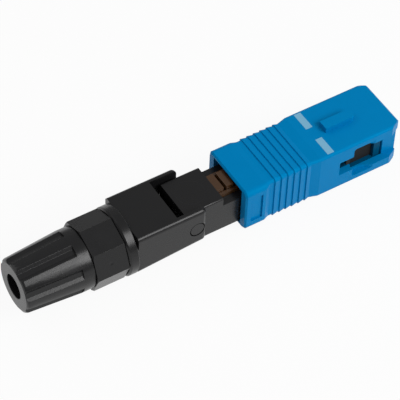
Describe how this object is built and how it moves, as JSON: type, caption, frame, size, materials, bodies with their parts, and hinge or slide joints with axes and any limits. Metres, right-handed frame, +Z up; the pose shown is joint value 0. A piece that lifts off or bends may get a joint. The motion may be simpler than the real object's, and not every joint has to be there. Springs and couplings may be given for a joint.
{
  "type": "sc fibre connector",
  "caption": "Field-fit SC fibre plug: blue push-pull sleeve over a sprung ceramic ferrule, mechanical splice in a black body, hinged cable end with a fluted clamping nut.",
  "frame": {"origin": "on the optical axis of the ferrule, in the plane of the coupling sleeve's front rim", "axes": "+X along the optical axis towards the mating end, +Z up on the key side, +Y to the left seen from the cable end"},
  "size_m": [0.0577, 0.0098, 0.0098],
  "materials": {
    "blue_plastic": "satin moulded blue plastic",
    "black_plastic": "fine-textured satin black plastic",
    "cap_plastic": "satin black plastic",
    "collet_plastic": "satin black plastic",
    "amber_plastic": "glossy translucent amber",
    "zirconia": "polished white ceramic",
    "flange_steel": "turned",
    "spring_steel": "bright drawn",
    "fibre_glass": "clear"
  },
  "bodies": {
    "plug_core": {"plug_frame": "blue_plastic", "main_body": "black_plastic", "splice_base": "amber_plastic", "splice_lid": "amber_plastic", "splice_clip": "spring_steel", "spring_seat": "flange_steel", "ferrule_spring": "spring_steel"},
    "ferrule_set": {"ferrule": "zirconia", "ferrule_flange": "flange_steel", "fibre_stub": "fibre_glass"},
    "sleeve": {"coupling_sleeve": "blue_plastic"},
    "cable_end": {"rear_body": "black_plastic"},
    "collet": {"cable_collet": "collet_plastic"},
    "nut": {"tail_cap": "cap_plastic"}
  },
  "joints": [
    {"name": "sleeve_slide", "type": "slide", "parent": "plug_core", "child": "sleeve", "axis": [1, 0, 0], "range_m": [0, 0.0014]},
    {"name": "ferrule_float", "type": "slide", "parent": "plug_core", "child": "ferrule_set", "axis": [1, 0, 0], "range_m": [-0.0009, 0], "stiffness_N_per_m": 1500, "springref_m": 0.003, "deforming": ["ferrule_spring"]},
    {"name": "tail_hinge", "type": "hinge", "parent": "plug_core", "child": "cable_end", "pos_m": [-0.032, 0, 0.00065], "axis": [0, 1, 0], "range_deg": [0, 70]},
    {"name": "collet_travel", "type": "slide", "parent": "cable_end", "child": "collet", "axis": [-1, 0, 0], "range_m": [0, 0.003]},
    {"name": "nut_spin", "type": "hinge", "parent": "collet", "child": "nut", "pos_m": [-0.05, 0, 0], "axis": [-1, 0, 0], "range_deg": [0, 1080]}
  ],
  "couplings": [
    {"joint": "nut_spin", "follows": "collet_travel", "rad_per_m": 6283.2}
  ]
}
